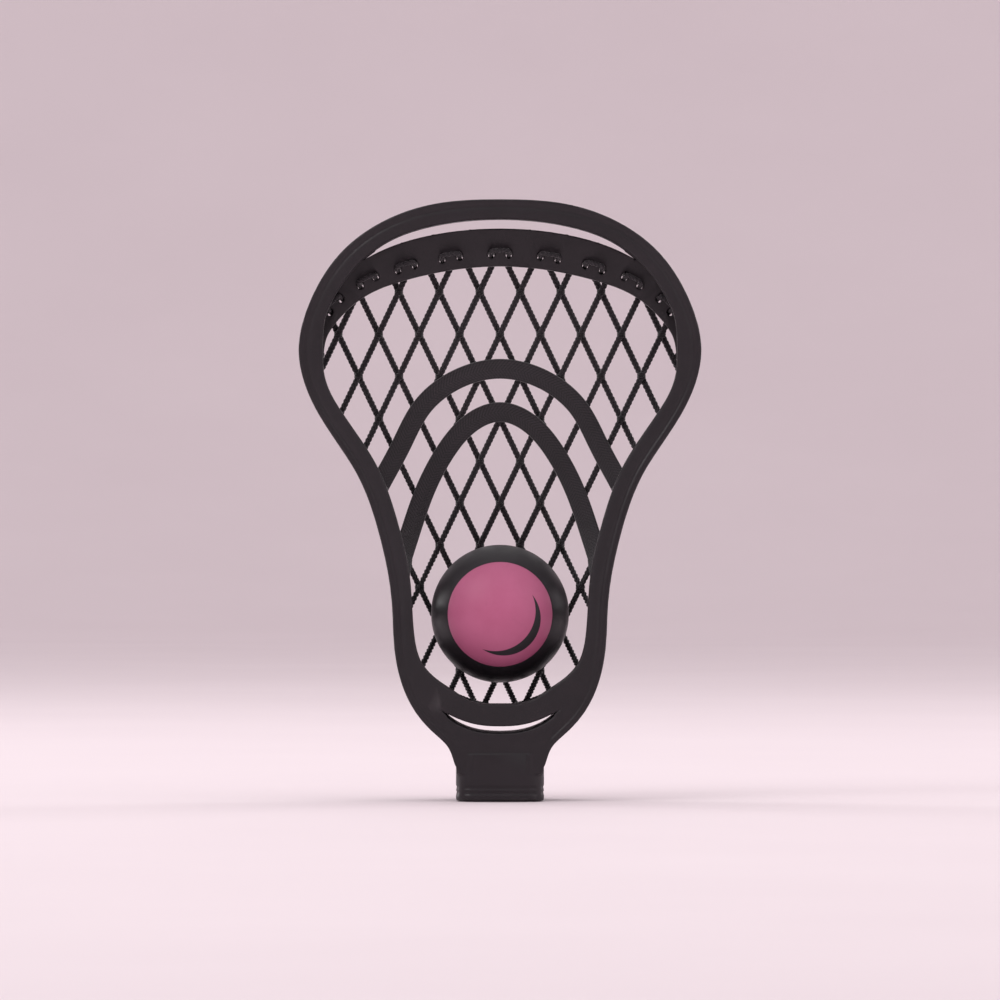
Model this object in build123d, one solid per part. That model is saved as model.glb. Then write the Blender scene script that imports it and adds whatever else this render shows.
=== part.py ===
"""Strung lacrosse stick head with a ball in its pocket. Millimetres.

The origin is the centre of the shaft socket's mouth. +Z runs up the stick to the scoop, +X to
the right seen from the front, and +Y to the back, where the pocket hangs. The open front, where
the ball goes in, faces -Y. Everything is symmetric about X = 0, apart from the mesh's layers.
"""

import os
from math import hypot

import numpy as np
from build123d import *

# ---------------------------------------------------------------- driving dimensions
BALL_R = 31.75
HEAD_HEIGHT = 274.0
HALF_WIDTH = 91.9
SOCKET_HALF_WIDTH = 20.1

# Front view of the head, right half, as (x, z) from the top centre down.
OUTLINE = [
    (0.0, HEAD_HEIGHT), (42.5, 268.6), (70.3, 252.1), (86.5, 228.0), (HALF_WIDTH, 205.5),
    (82.4, 175.5), (65.0, 148.3), (54.9, 120.5), (49.3, 90.0), (48.1, 69.0),
    (41.0, 44.4), (35.5, 36.3), (28.2, 29.0), (22.35, 21.7), (20.3, 15.8), (19.8, 12.0),
]
OPENING_SIDE = (80.9, 201.5)
OPENING_BOTTOM = (0.0, 43.9)
UPPER_OPENING = [(0.0, 243.9), (42.5, 237.8), (64.6, 228.4), (76.6, 216.5), OPENING_SIDE]
LOWER_OPENING = [
    OPENING_SIDE, (73.0, 178.4), (56.4, 153.0), (46.4, 126.0), (41.0, 101.0), (39.3, 77.5),
    (33.6, 59.6), (20.4, 49.3), OPENING_BOTTOM,
]
# The rim's inner edge, where the scoop's ramp starts.
RIM_INSIDE = [(0.0, 265.0), (34.0, 260.9), (62.6, 246.6), (77.5, 226.0), OPENING_SIDE]

# Crescent slots: the right half of each long edge, from the middle to the shared tip.
SCOOP_SLOT_UPPER = [(0.0, 264.9), (30.0, 262.0), (50.0, 255.4), (62.0, 247.0)]
SCOOP_SLOT_LOWER = [(0.0, 261.0), (30.0, 258.3), (50.0, 252.8), (62.0, 247.0)]
THROAT_SLOT_UPPER = [(0.0, 33.8), (10.0, 34.5), (20.0, 37.6), (27.0, 41.3)]
THROAT_SLOT_LOWER = [(0.0, 30.65), (10.0, 31.5), (20.0, 35.3), (27.0, 41.3)]

# Side view, as (y, z) from the socket's mouth up.
FRONT_LINE = [
    (-19.5, 0.0), (-20.0, 30.0), (-20.5, 60.0), (-17.0, 110.0), (-14.0, 170.0),
    (-15.5, 225.0), (-20.0, 260.0), (-22.5, 275.0),
]
BACK_LINE = [
    (27.0, 0.0), (27.2, 25.0), (28.6, 50.0), (28.6, 80.0), (24.6, 120.0), (17.0, 165.0),
    (9.8, 205.0), (3.6, 235.0), (-4.0, 256.0), (-14.5, 275.0),
]
# How far back the pocket's middle hangs, as (y, z) from its bottom edge to its top edge.
POCKET_LINE = [
    (24.8, 44.0), (33.0, 51.0), (43.4, 62.0), (50.2, 75.0), (52.4, 87.0),
    (50.6, 100.0), (42.0, 122.0), (28.6, 160.0), (16.6, 200.0), (4.2, 248.0),
]

FLANGE_DEPTH = 6.5          # front rail, front to back
NECK_INSET = 0.5            # outer face of the wall, inside the outline, beside the socket
WALL_INSET = 2.4            # and beside the opening
CHANNEL_INSET = 3.4         # outer face of the thin wall between the rails
INSET_START, INSET_FULL = 24.0, 50.0
CHANNEL_TOP = 262.0
WALL_SETBACK = 3.3          # inner face of the wall, outside the opening
BEAD_DEPTH = 8.0            # back rail, front to back
RAMP_THICKNESS = 5.5
OVERLAP = 0.8               # fused neighbours run into each other by this much

# Openings through the side walls, as (low z, high z) at the back rail.
WINDOWS = [(66, 84), (90, 104), (115, 131), (137, 152), (163, 178), (184, 200)]
WINDOW_SLANT = 4.0
WINDOW_CORNER = 2.2
WINDOW_MARGIN = 2.5         # from the front rail
WINDOW_SETBACK = 9.2        # from the back face

# Shaft socket: a long octagon for a standard 25.4 x 28.6 mm shaft.
SOCKET_FRONT, SOCKET_BACK = -20.4, 27.8
SOCKET_TOP = 21.0
SOCKET_CORNER = 8.0
BORE_WIDTH, BORE_DEPTH, BORE_LENGTH = 25.8, 29.2, 26.0
BORE_CORNER = 7.4

# Screw that holds the shaft, started in its hole behind the socket.
SCREW_Z = 12.0
SCREW_HOLE_R = 2.3
SCREW_CORE_R, SCREW_THREAD_R, SCREW_PITCH = 1.55, 2.1, 1.6
SCREW_LENGTH = 9.5
SCREW_POINT_R, SCREW_POINT_LENGTH = 0.6, 1.0
SCREW_HEAD_R, SCREW_HEAD_HEIGHT, SCREW_HEAD_CHAMFER = 4.0, 2.6, 1.2
SCREW_TIP_GAP = 0.3         # between the tip and the bore
RECESS_SPAN, RECESS_WIDTH, RECESS_DEPTH = 4.8, 1.0, 1.5
COUNTERBORE_R, COUNTERBORE_DEPTH = 4.6, 8.2

# Strings.
STRING_R = 1.15
STRING_BEND_R = 1.35        # corners of a loop, at the cord's centre
STRING_HOLE_R = 1.6
CORNER_HOLE_R = 1.8         # where a hole from inside turns to the back
HOLE_OVERRUN = 4.0          # string holes go on this far past the far face
STRING_INSET = 1.9          # strings run this far outside the opening
STRING_DEPTH = 3.5          # and this far in front of the back rail's back face
STRING_GAP = 0.4
RAMP_STRING_SHIFT = 7.2     # the top string runs behind the ramp, not beside the wall
SHIFT_LOW, SHIFT_HIGH = 188.0, 200.5
SIDE_LOOP_HEIGHTS = [70.0, 82.0, 94.0, 108.0, 121.0, 134.0, 148.0, 160.0, 172.0, 184.0]
SIDE_STRING_ENDS = (66.5, 187.5)
TOP_STITCH_SPOTS = [0.0, 22.0, 42.0, 59.0, 73.0]
TOP_STITCH_WIDTH = 8.0
TOP_STITCH_REACH = 5.2
TOP_STITCH_SETBACK = 1.2    # a stitch passes this far behind the string's middle
TOP_STITCH_CLEARANCE = 2.1  # and clears the ramp's front by this much
TOP_STRING_END = 203.5
BOTTOM_LOOP_SPOTS = [8.0, 23.0]
BOTTOM_LOOP_REACH = 6.3
BOTTOM_STRING_END = 62.5
KNOT_R = 2.5

# Mesh: strands leaning each way that cross on a diamond grid.
MESH_NODE_HEIGHT = 213.2
DIAMOND_WIDTH, DIAMOND_HEIGHT = 18.57, 38.8
STRANDS_INWARD, STRANDS_OUTWARD = 4, 5
STRAND_R = 1.4
LAYER_OFFSET = 1.0          # each layer's centre is this far off the pocket surface
STRAND_END_INSET = 0.75     # strands end this far outside the opening, beside the string
STRAND_STEP = 7.0

# Shooting strings: flat laces in front of the mesh, as (x, z) of the centre line, right half.
UPPER_LACE = [(0.0, 197.3), (20.7, 192.0), (36.0, 179.5), (45.3, 162.5), (55.2, 143.9)]
LOWER_LACE = [(0.0, 177.5), (14.0, 172.0), (24.7, 159.9), (34.0, 142.6), (44.8, 111.3)]
LACE_WIDTH, LACE_THICKNESS = 9.1, 1.2
LACE_OFFSET = 3.6           # lace centre in front of the pocket surface
LACE_STEPS = 12             # sections from the middle to each end
LACE_TAIL_START = 0.97      # share of the way out where the gathered tail starts
LACE_EDGE_MARGIN = 0.4      # a lace's edge stops this far inside the string line
UPPER_TAIL_HEIGHT, LOWER_TAIL_HEIGHT = 141.0, 100.5

# Foam pad on the ball stop.
PAD_THICKNESS, PAD_GAP = 2.8, 0.1
PAD_FRONT, PAD_BACK, PAD_TOP = -13.2, 18.0, 61.0

# Ball.
BALL_HEIGHT = 84.7
BALL_GAP = 0.15

DEEP = 70.0                 # past both faces of the head


# ---------------------------------------------------------------- curves
class Lookup:
    """A smooth curve, sampled so that one coordinate can be looked up by z."""

    def __init__(self, *edges, axis="X", samples=500):
        places = [e.position_at(i / samples) for e in edges for i in range(samples + 1)]
        pairs = sorted((p.Z, getattr(p, axis)) for p in places)
        self.z = np.array([z for z, _ in pairs])
        self.value = np.array([v for _, v in pairs])

    def __call__(self, z):
        return float(np.interp(z, self.z, self.value))


def front_edge(points, first=(1, 0), last=(0, -1)):
    """Spline in the front view through (x, z) points, with its end directions given."""
    ends = [Vector(first[0], 0, first[1]), Vector(last[0], 0, last[1])]
    return Edge.make_spline([Vector(x, 0, z) for x, z in points], tangents=ends)


def outward(edge, t):
    """Unit normal of an edge that runs clockwise in the front view."""
    d = edge.tangent_at(t)
    return Vector(-d.Z, 0, d.X)


def shifted(edge, distance, count=16):
    """A front view edge moved outward by distance(z), or by one distance."""
    move = distance if callable(distance) else lambda z: distance
    points = []
    for i in range(count + 1):
        p = edge.position_at(i / count)
        points.append(p + outward(edge, i / count) * move(p.Z))
    return Edge.make_spline(points, tangents=[edge.tangent_at(0), edge.tangent_at(1)])


def smooth_step(value, low, high):
    t = min(max((value - low) / (high - low), 0.0), 1.0)
    return t * t * (3 - 2 * t)


def inset(amount):
    """Inward shift of the outline that fades to a little beside the socket."""
    step = amount - NECK_INSET
    return lambda z: -NECK_INSET - step * smooth_step(z, INSET_START, INSET_FULL)


def side_lookup(points):
    return Lookup(Edge.make_spline([Vector(0, y, z) for y, z in points]), axis="Y")


OUTER = front_edge(OUTLINE)
UPPER = front_edge(UPPER_OPENING)
LOWER = front_edge(LOWER_OPENING, first=(0, -1), last=(-1, 0))
RIM = front_edge(RIM_INSIDE)
WALL_OUTSIDE = shifted(OUTER, inset(WALL_INSET), count=24)
WALL_SPOTS = [WALL_OUTSIDE.position_at(i / 800) for i in range(801)]
HANG_UPPER = shifted(UPPER, STRING_INSET)
HANG_LOWER = shifted(LOWER, STRING_INSET, count=28)

front_y = side_lookup(FRONT_LINE)
back_y = side_lookup(BACK_LINE)
pocket_y = side_lookup(POCKET_LINE)
hang_x = Lookup(HANG_UPPER, HANG_LOWER)
strand_end_x = Lookup(shifted(UPPER, STRAND_END_INSET), shifted(LOWER, STRAND_END_INSET, 28))


# ---------------------------------------------------------------- shared solids
def mirrored(shape):
    return shape.mirror(Plane.YZ)


def closed_face(*right_half):
    """Front view face inside a chain of right half edges and their mirror images."""
    return Face(Wire([*right_half, *(mirrored(e) for e in right_half)]))


def prism(face, y_low=-DEEP, y_high=DEEP):
    """A front view face, swept from y_low to y_high."""
    return extrude(face.moved(Location((0, y_low, 0))), amount=y_high - y_low, dir=(0, 1, 0))


def side_band(front, back, z_low=-6.0, z_high=280.0, steps=24):
    """Everything between two side view lines, each a function of z, across the whole width."""
    reach = HALF_WIDTH + 10
    heights = [z_low + (z_high - z_low) * i / steps for i in range(steps + 1)]
    fore = Edge.make_spline([Vector(-reach, front(z), z) for z in heights])
    aft = Edge.make_spline([Vector(-reach, back(z), z) for z in heights])
    ends = [Edge.make_line(fore @ i, aft @ i) for i in (0, 1)]
    return extrude(Face(Wire([fore, aft, *ends])), amount=2 * reach, dir=(1, 0, 0))


def crescent(*long_edges):
    """Front view face between two long edges that share their tips."""
    edges = []
    for points in long_edges:
        left = [(-x, z) for x, z in reversed(points[1:])]
        edges.append(Edge.make_spline([Vector(x, 0, z) for x, z in left + points]))
    return Face(Wire(edges))


def rod(start, end, radius):
    way = end - start
    plane = Plane(origin=start, z_dir=way)
    return Solid.make_cylinder(radius, way.length, plane)


def cord(points, radius=STRING_R):
    """A round cord along a smooth line through the points."""
    path = Edge.make_spline(points)
    sections = []
    for point in points:
        share = path.param_at_point(point)
        way = path % share
        plane = Plane(origin=path @ share, x_dir=Vector(0, 1, 0).cross(way), z_dir=way)
        sections.append(Wire.make_circle(radius, plane))
    return Solid.make_loft(sections)


def bead(place, radius):
    return Solid.make_sphere(radius, angle1=-90, angle2=90).moved(Location(place))


def bent_cord(corners, radius=STRING_R):
    """A round cord with straight runs between its corners."""
    runs = [rod(start, end, radius) for start, end in zip(corners, corners[1:])]
    return fused(runs + [bead(corner, radius) for corner in corners[1:-1]])


def ring(corner, along, across, width, height):
    """A cord bent into a rounded rectangle that starts at corner."""
    middle = corner + along * (width / 2) + across * (height / 2)
    plane = Plane(origin=middle, x_dir=along, z_dir=along.cross(across))
    path = (plane * RectangleRounded(width, height, STRING_BEND_R)).wire()
    start = Plane(origin=path @ 0, z_dir=path % 0)
    return Solid.sweep(Face(Wire.make_circle(STRING_R, start)), path=path)


def fused(shapes):
    first, *rest = shapes
    return first.fuse(*rest) if rest else first


# ---------------------------------------------------------------- pocket surface
def hang_y(z):
    """Where the mesh's edge hangs: inside the side walls, and behind the scoop's ramp."""
    shift = RAMP_STRING_SHIFT * smooth_step(z, SHIFT_LOW, SHIFT_HIGH)
    return back_y(z) - STRING_DEPTH + shift


def pocket_depth(x, z):
    share = min(abs(x) / max(hang_x(z), 0.5), 1.0)
    sag = max(pocket_y(z) - hang_y(z), 0.0)
    return hang_y(z) + sag * (1 - share**2)


def pocket_normal(x, z, step=0.5):
    """Unit normal of the pocket, to the front."""
    dy_dx = (pocket_depth(x + step, z) - pocket_depth(x - step, z)) / (2 * step)
    dy_dz = (pocket_depth(x, z + step) - pocket_depth(x, z - step)) / (2 * step)
    return Vector(dy_dx, -1, dy_dz).normalized()


def on_pocket(x, z, forward=0.0):
    """A place that shows at (x, z) from the front, this far in front of the pocket."""
    return Vector(x, pocket_depth(x, z) + forward / pocket_normal(x, z).Y, z)


# ---------------------------------------------------------------- the moulded head
def outline_face(edge):
    """Front view face inside a right half edge that ends at the socket's side."""
    foot = edge @ 1
    return closed_face(edge, Edge.make_line(foot, Vector(0, 0, foot.Z)))


def front_flange():
    """The wide front rail all round, with the ball stop's lip and the throat's front."""
    band = side_band(front_y, lambda z: front_y(z) + FLANGE_DEPTH)
    return (prism(outline_face(OUTER)) - prism(closed_face(RIM, LOWER))) & band


def side_walls():
    """The wall behind the front rail, thinned to a channel between the two rails."""
    hollow = closed_face(shifted(RIM, WALL_SETBACK), shifted(LOWER, WALL_SETBACK, 28))
    walls = prism(outline_face(WALL_OUTSIDE)) - prism(hollow)
    walls = walls & side_band(lambda z: front_y(z) + FLANGE_DEPTH - OVERLAP, back_y)
    thin = prism(outline_face(shifted(OUTER, inset(CHANNEL_INSET), count=24)))
    between = side_band(
        lambda z: front_y(z) + FLANGE_DEPTH - OVERLAP / 2,
        lambda z: max(back_y(z) - BEAD_DEPTH, front_y(z) + FLANGE_DEPTH),
        z_low=INSET_START, z_high=CHANNEL_TOP,
    )
    return walls - (between - thin)


def scoop_ramp():
    """The sloping plate inside the rim that the mesh's top edge is tied to."""
    outside = shifted(RIM, WALL_SETBACK + OVERLAP)
    plate = closed_face(outside, Edge.make_line(outside @ 1, UPPER @ 1), UPPER)
    band = side_band(lambda z: back_y(z) - RAMP_THICKNESS, back_y)
    return prism(plate) & band


def socket_block():
    """The rounded block round the shaft's bore."""
    depth = SOCKET_BACK - SOCKET_FRONT
    plan = RectangleRounded(2 * SOCKET_HALF_WIDTH, depth, SOCKET_CORNER)
    block = extrude(Pos(0, (SOCKET_FRONT + SOCKET_BACK) / 2) * plan, amount=SOCKET_TOP)
    return block.solid()


def socket_bore():
    half_w, half_d, cut = BORE_WIDTH / 2, BORE_DEPTH / 2, BORE_CORNER
    quarter = [(half_w, half_d - cut), (half_w - cut, half_d)]
    points = quarter + [(-x, y) for x, y in reversed(quarter)]
    points += [(-x, -y) for x, y in points]
    return extrude(make_face(Polyline(*points, close=True)), amount=BORE_LENGTH)


def screw_hole():
    start = Vector(0, 0, SCREW_Z)
    floor = Vector(0, SOCKET_BACK - COUNTERBORE_DEPTH, SCREW_Z)
    outside = Vector(0, SOCKET_BACK + 5, SCREW_Z)
    return fused([rod(start, outside, SCREW_HOLE_R), rod(floor, outside, COUNTERBORE_R)])


def window(low, high, slant):
    """Slanted opening through both side walls."""
    def fore(z):
        return front_y(z) + FLANGE_DEPTH + WINDOW_MARGIN

    def aft(z):
        return back_y(z) - WINDOW_SETBACK

    corners = [(aft(low), low), (aft(high), high),
               (fore(high + slant), high + slant), (fore(low + slant), low + slant)]
    outline = Plane.YZ * Polyline(*corners, close=True)
    face = make_face(outline)
    face = fillet(face.vertices(), WINDOW_CORNER)
    return extrude(face, amount=HALF_WIDTH + 10, both=True)


def side_windows():
    slants = [WINDOW_SLANT if i % 2 else -WINDOW_SLANT for i in range(len(WINDOWS))]
    return [window(low, high, slant) for (low, high), slant in zip(WINDOWS, slants)]


def head_frame():
    body = fused([front_flange(), side_walls(), scoop_ramp(), socket_block()])
    cuts = [
        prism(crescent(SCOOP_SLOT_UPPER, SCOOP_SLOT_LOWER)),
        prism(crescent(THROAT_SLOT_UPPER, THROAT_SLOT_LOWER)),
        socket_bore(), screw_hole(), *side_windows(), *string_holes(),
    ]
    return body.cut(*cuts)


# ---------------------------------------------------------------- strings
def edge_spot(edge, key):
    """Share along an edge where key(point) first comes within the next sample of zero."""
    shares = np.linspace(0, 1, 801)
    values = [abs(key(edge.position_at(s))) for s in shares]
    return float(shares[int(np.argmin(values))])


def hang_frame(edge, share):
    """A place on the mesh's edge: point on the string, way along it, and way outward."""
    place, normal = edge @ share, outward(edge, share)
    tangent = edge % share
    return Vector(place.X, hang_y(place.Z), place.Z), tangent, normal


def rail_thickness(place, normal):
    """How far the outer face of the back rail is from a place on the side string."""
    here, along = Vector(place.X, 0, place.Z), Vector(normal.Z, 0, -normal.X)
    spots = [spot - here for spot in WALL_SPOTS]
    return min(s.dot(normal) for s in spots if abs(s.dot(along)) < 0.5 and s.dot(normal) > 0)


def loop_depth(place, normal, reach):
    """How far behind a place on the mesh's edge a cord clears the back rail."""
    back = max(back_y(place.Z), back_y(place.Z + normal.Z * reach))
    return back - place.Y + STRING_R + STRING_GAP


def side_loops():
    """One loop of cord per hole, round the back rail, on the right side."""
    loops = []
    for z in SIDE_LOOP_HEIGHTS:
        share = edge_spot(HANG_LOWER, lambda p, z=z: p.Z - z)
        place, _, normal = hang_frame(HANG_LOWER, share)
        reach = rail_thickness(place, normal) + STRING_R + STRING_GAP
        loops.append((place, normal, reach, loop_depth(place, normal, reach)))
    return loops


def bottom_loops():
    loops = []
    for x in BOTTOM_LOOP_SPOTS:
        share = edge_spot(HANG_LOWER, lambda p, x=x: p.X - x)
        place, _, normal = hang_frame(HANG_LOWER, share)
        depth = loop_depth(place, normal, BOTTOM_LOOP_REACH)
        loops.append((place, normal, BOTTOM_LOOP_REACH, depth))
    return loops


def top_stitches():
    """Stitches through the ramp: corner, way along the edge, way to the front, and length."""
    found = []
    for x in TOP_STITCH_SPOTS:
        share = edge_spot(HANG_UPPER, lambda p, x=x: p.X - x)
        place, tangent, normal = hang_frame(HANG_UPPER, share)
        near = place + Vector(0, TOP_STITCH_SETBACK, 0) - tangent * (TOP_STITCH_WIDTH / 2)
        far = place + normal * TOP_STITCH_REACH
        front = back_y(far.Z) - RAMP_THICKNESS - STRING_R - TOP_STITCH_CLEARANCE
        through = Vector(far.X, front, far.Z) - place
        found.append((near, tangent, through + Vector(0, -TOP_STITCH_SETBACK, 0)))
    return found


def string_holes():
    holes = []
    for place, normal, reach, _ in side_loops():
        holes.append(rod(place, place + normal * (reach + HOLE_OVERRUN), STRING_HOLE_R))
    for place, normal, reach, depth in bottom_loops():
        corner = place + normal * reach
        holes.append(rod(place, corner, STRING_HOLE_R))
        start = corner - Vector(0, CORNER_HOLE_R, 0)
        stop = corner + Vector(0, depth + HOLE_OVERRUN, 0)
        holes.append(rod(start, stop, CORNER_HOLE_R))
    for corner, along, through in top_stitches():
        overrun = through.normalized() * HOLE_OVERRUN
        for start in (corner, corner + along * TOP_STITCH_WIDTH):
            holes.append(rod(start - overrun, start + through + overrun, STRING_HOLE_R))
    return holes + [mirrored(hole) for hole in holes]


def hang_points(edge, start, stop, count):
    """Points along the mesh's edge string, between two shares of an edge."""
    shares = [start + (stop - start) * i / count for i in range(count + 1)]
    return [hang_frame(edge, s)[0] for s in shares]


def side_string():
    """The right side string, with its loops and end knots."""
    low, high = (edge_spot(HANG_LOWER, lambda p, z=z: p.Z - z) for z in SIDE_STRING_ENDS)
    run = cord(hang_points(HANG_LOWER, high, low, 22))
    pieces = [run]
    back = Vector(0, 1, 0)
    for place, normal, reach, depth in side_loops():
        pieces.append(ring(place, normal, back, reach, depth))
    for place, normal, reach, depth in (side_loops()[0], side_loops()[-1]):
        knot = place + normal * (reach / 2) + back * (depth + KNOT_R - STRING_R)
        pieces.append(bead(knot, KNOT_R))
    return fused(pieces)


def bottom_string():
    share = edge_spot(HANG_LOWER, lambda p: p.Z - BOTTOM_STRING_END)
    right = hang_points(HANG_LOWER, share, 1.0, 17)
    left = [Vector(-p.X, p.Y, p.Z) for p in reversed(right[:-1])]
    pieces = [cord(right + left)]
    for place, normal, reach, depth in bottom_loops():
        loop = ring(place, normal, Vector(0, 1, 0), reach, depth)
        pieces += [loop, mirrored(loop)]
    return fused(pieces)


def top_string():
    share = edge_spot(HANG_UPPER, lambda p: p.Z - TOP_STRING_END)
    right = hang_points(HANG_UPPER, 0.0, share, 11)
    left = [Vector(-p.X, p.Y, p.Z) for p in reversed(right[1:])]
    pieces = [cord(left + right)]
    for i, (corner, along, through) in enumerate(top_stitches()):
        stitch = ring(corner, along, through.normalized(), TOP_STITCH_WIDTH, through.length)
        pieces += [stitch] if i == 0 else [stitch, mirrored(stitch)]
    end = right[-1]
    knot = bead(end + Vector(0, KNOT_R - STRING_R, 0), KNOT_R)
    return fused(pieces + [knot, mirrored(knot)])


# ---------------------------------------------------------------- mesh
def strand(foot_x, lean, forward):
    """One strand that leans by lean (x per z) and passes x = foot_x at the node height."""
    def x_at(z):
        return foot_x + lean * (z - MESH_NODE_HEIGHT)

    low, high = OPENING_BOTTOM[1] - STRAND_END_INSET, UPPER_OPENING[0][1] + STRAND_END_INSET
    heights = [z for z in np.linspace(low, high, 1001) if abs(x_at(z)) < strand_end_x(z)]
    bottom, top = heights[0], heights[-1]
    length = hypot(top - bottom, x_at(top) - x_at(bottom))
    count = max(3, round(length / STRAND_STEP))
    zs = [bottom + (top - bottom) * i / count for i in range(count + 1)]
    return cord([on_pocket(x_at(z), z, forward) for z in zs], STRAND_R)


def pocket_mesh():
    """Strands leaning right in front of strands leaning left, joined where they cross."""
    strands = []
    for side in (1, -1):
        lean = side * DIAMOND_WIDTH / DIAMOND_HEIGHT
        for k in range(-STRANDS_INWARD, STRANDS_OUTWARD + 1):
            strands.append(strand(side * DIAMOND_WIDTH * k, lean, side * LAYER_OFFSET))
    return fused(strands)


# ---------------------------------------------------------------- shooting strings
def lace_edges(path, share):
    """Inner and outer edge of a lace in the front view; the outer one stops at the side wall."""
    middle, normal = path @ share, outward(path, share)
    inner, outer = (middle + normal * (side * LACE_WIDTH / 2) for side in (-1, 1))
    limit = hang_x(outer.Z) - LACE_EDGE_MARGIN
    if outer.X > limit:
        outer = Vector(limit, 0, outer.Z)
    return inner, outer


def lace_section(path, share, side):
    """Rectangle across the lace, on the right (side 1) or left (side -1) of the middle."""
    inner, outer = (on_pocket(side * p.X, p.Z, LACE_OFFSET) for p in lace_edges(path, share))
    place = (inner + outer) * 0.5
    face = pocket_normal(place.X, place.Z)
    across = (outer - inner).normalized()
    plane = Plane(origin=place, x_dir=across, z_dir=across.cross(face))
    return (plane * Rectangle((outer - inner).length, LACE_THICKNESS)).wire()


def lace_middle(path, share):
    inner, outer = lace_edges(path, share)
    middle = (inner + outer) * 0.5
    return on_pocket(middle.X, middle.Z, LACE_OFFSET)


def lace_tail(path, height):
    """The gathered right end: out through the wall, round the back rail, and a knot behind it."""
    share = edge_spot(HANG_LOWER, lambda p: p.Z - height)
    place, _, normal = hang_frame(HANG_LOWER, share)
    outer = rail_thickness(place, normal) + STRING_R + STRING_GAP
    fore = STRING_DEPTH - WINDOW_SETBACK - STRING_R - STRING_GAP
    aft = loop_depth(place, normal, outer)
    back = Vector(0, 1, 0)
    corners = [lace_middle(path, LACE_TAIL_START), lace_middle(path, 1.0), place + back * fore]
    corners += [place + normal * outer + back * depth for depth in (fore, aft)]
    corners.append(place + normal * (outer / 2) + back * aft)
    knot = corners[-1] + back * (KNOT_R - STRING_R)
    return fused([bent_cord(corners), bead(knot, KNOT_R)])


def lace(points, tail_height):
    """A whole shooting string."""
    last = (points[-1][0] - points[-2][0], points[-1][1] - points[-2][1])
    path = front_edge(points, last=last)
    shares = [i / LACE_STEPS for i in range(LACE_STEPS + 1)]
    spots = [(share, -1) for share in reversed(shares[1:])] + [(share, 1) for share in shares]
    flat = Solid.make_loft([lace_section(path, share, side) for share, side in spots])
    tail = lace_tail(path, tail_height)
    return fused([flat, tail, mirrored(tail)])


# ---------------------------------------------------------------- pad, screw and ball
def ball_stop_pad():
    near, far = (shifted(LOWER, d, 28) for d in
                 (WALL_SETBACK - PAD_GAP - PAD_THICKNESS, WALL_SETBACK - PAD_GAP))
    lid = Edge.make_line(near @ 0, far @ 0)
    ring_face = closed_face(far, lid, near)
    keep = Pos(0, 0, PAD_TOP / 2) * Box(4 * HALF_WIDTH, 4 * DEEP, PAD_TOP)
    return prism(ring_face, PAD_FRONT, PAD_BACK) & keep


def throat_screw():
    """Pan head screw with a thread of separate turns and a crossed driver recess."""
    tip = Vector(0, BORE_DEPTH / 2 + SCREW_TIP_GAP, SCREW_Z)
    turns = int(SCREW_LENGTH / SCREW_PITCH) - 1
    profile = [(0, 0), (SCREW_POINT_R, 0)]
    for i in range(turns):
        base = SCREW_POINT_LENGTH + i * SCREW_PITCH
        profile += [(SCREW_CORE_R, base), (SCREW_THREAD_R, base + SCREW_PITCH / 2)]
    head_low, head_high = SCREW_LENGTH, SCREW_LENGTH + SCREW_HEAD_HEIGHT
    profile += [
        (SCREW_CORE_R, SCREW_POINT_LENGTH + turns * SCREW_PITCH), (SCREW_CORE_R, head_low),
        (SCREW_HEAD_R, head_low), (SCREW_HEAD_R, head_high - SCREW_HEAD_CHAMFER),
        (SCREW_HEAD_R - SCREW_HEAD_CHAMFER, head_high), (0, head_high),
    ]
    turned = revolve(make_face(Polyline(*profile, close=True)), Axis.Y, 360)
    arm = Box(RECESS_SPAN, 2 * RECESS_DEPTH, RECESS_WIDTH)
    cross = fused([arm.solid(), arm.rotate(Axis.Y, 90).solid()])
    screw = turned.cut(Pos(0, head_high, 0) * cross)
    return Pos(tip.X, tip.Y, tip.Z) * screw


def ball_centre():
    """The ball is pushed back until it just clears the mesh."""
    need = BALL_R + LAYER_OFFSET + STRAND_R + BALL_GAP
    limits = []
    for z in np.arange(BALL_HEIGHT - need, BALL_HEIGHT + need):
        for x in np.arange(need):
            room = need**2 - x**2 - (z - BALL_HEIGHT) ** 2
            if room > 0:
                limits.append(pocket_depth(x, z) - room**0.5)
    return Vector(0, min(limits), BALL_HEIGHT)


def ball():
    return bead(ball_centre(), BALL_R)


# ---------------------------------------------------------------- export
def build():
    os.makedirs("parts", exist_ok=True)
    right_string = side_string()
    nodes = {
        "head_frame": head_frame(),
        "ball_stop_pad": ball_stop_pad(),
        "throat_screw": throat_screw(),
        "sidewall_string_right": right_string,
        "sidewall_string_left": mirrored(right_string),
        "top_string": top_string(),
        "bottom_string": bottom_string(),
        "pocket_mesh": pocket_mesh(),
        "upper_shooting_string": lace(UPPER_LACE, UPPER_TAIL_HEIGHT),
        "lower_shooting_string": lace(LOWER_LACE, LOWER_TAIL_HEIGHT),
        "ball": ball(),
    }
    for name, shape in nodes.items():
        export_step(shape, f"parts/{name}.step")


build()
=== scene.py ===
"""Looks for the strung lacrosse head: moulded head, braided mesh, laces, strings and ball.

Curves are in millimetres in the part's own frame and become metres when a mesh is made.
"""

from math import pi

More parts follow.
